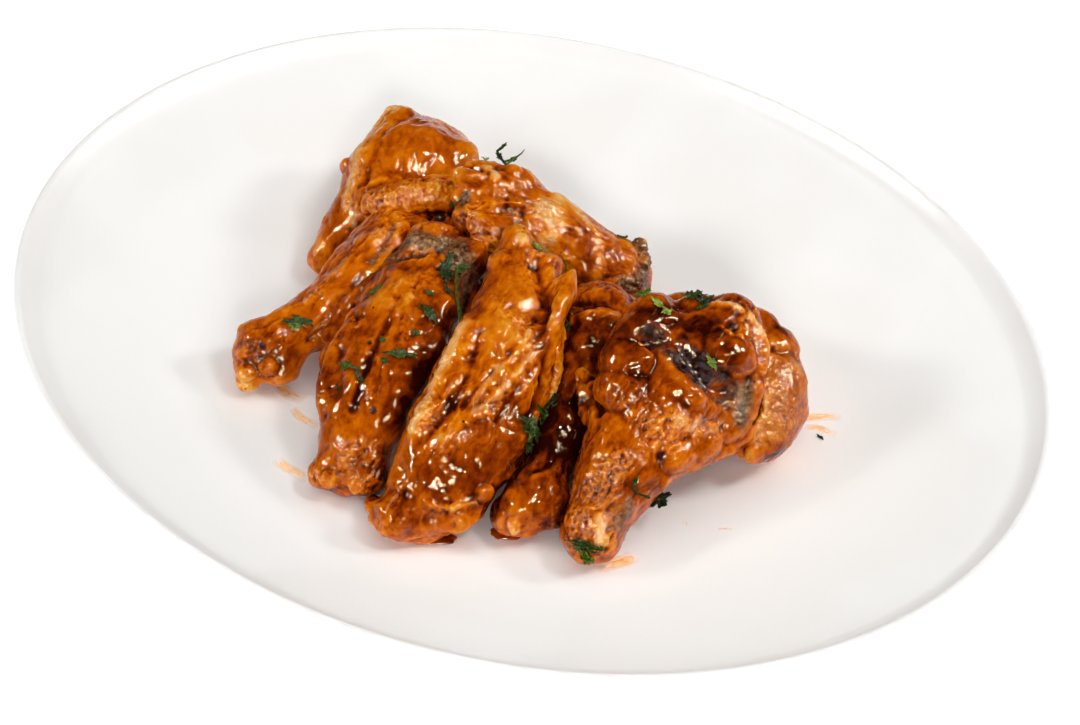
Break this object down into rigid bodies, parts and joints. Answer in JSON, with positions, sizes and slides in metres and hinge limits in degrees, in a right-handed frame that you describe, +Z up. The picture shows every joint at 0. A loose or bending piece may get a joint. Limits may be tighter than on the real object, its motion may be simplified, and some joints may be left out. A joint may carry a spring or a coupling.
{
  "type": "chicken wings serving",
  "caption": "Sticky orange-red glazed chicken drumettes and flats piled on a wide white oval coupe plate, scattered with chopped parsley, with a few smears of sauce on the plate.",
  "frame": {"origin": "middle of the plate's foot, on the surface it stands on", "axes": "+Z up, X along the plate's long axis, Y along its short axis, -Y nearest the diner"},
  "size_m": [0.317, 0.252, 0.0554],
  "materials": {
    "plate_glaze": "glossy white glaze",
    "wing_skin": "roasted skin under a wet, sticky orange-red glaze",
    "sauce": "thin wet glaze",
    "parsley": "chopped leaf, wet with glaze",
    "chilli": "dried flake, wet with glaze"
  },
  "bodies": {
    "root": {"plate": "plate_glaze", "flat_centre": "wing_skin", "flat_left": "wing_skin", "drumette_front": "wing_skin", "drumette_hidden": "wing_skin", "drumette_right": "wing_skin", "drumette_left": "wing_skin", "drumette_back_left": "wing_skin", "drumette_back_right": "wing_skin"}
  },
  "joints": []
}
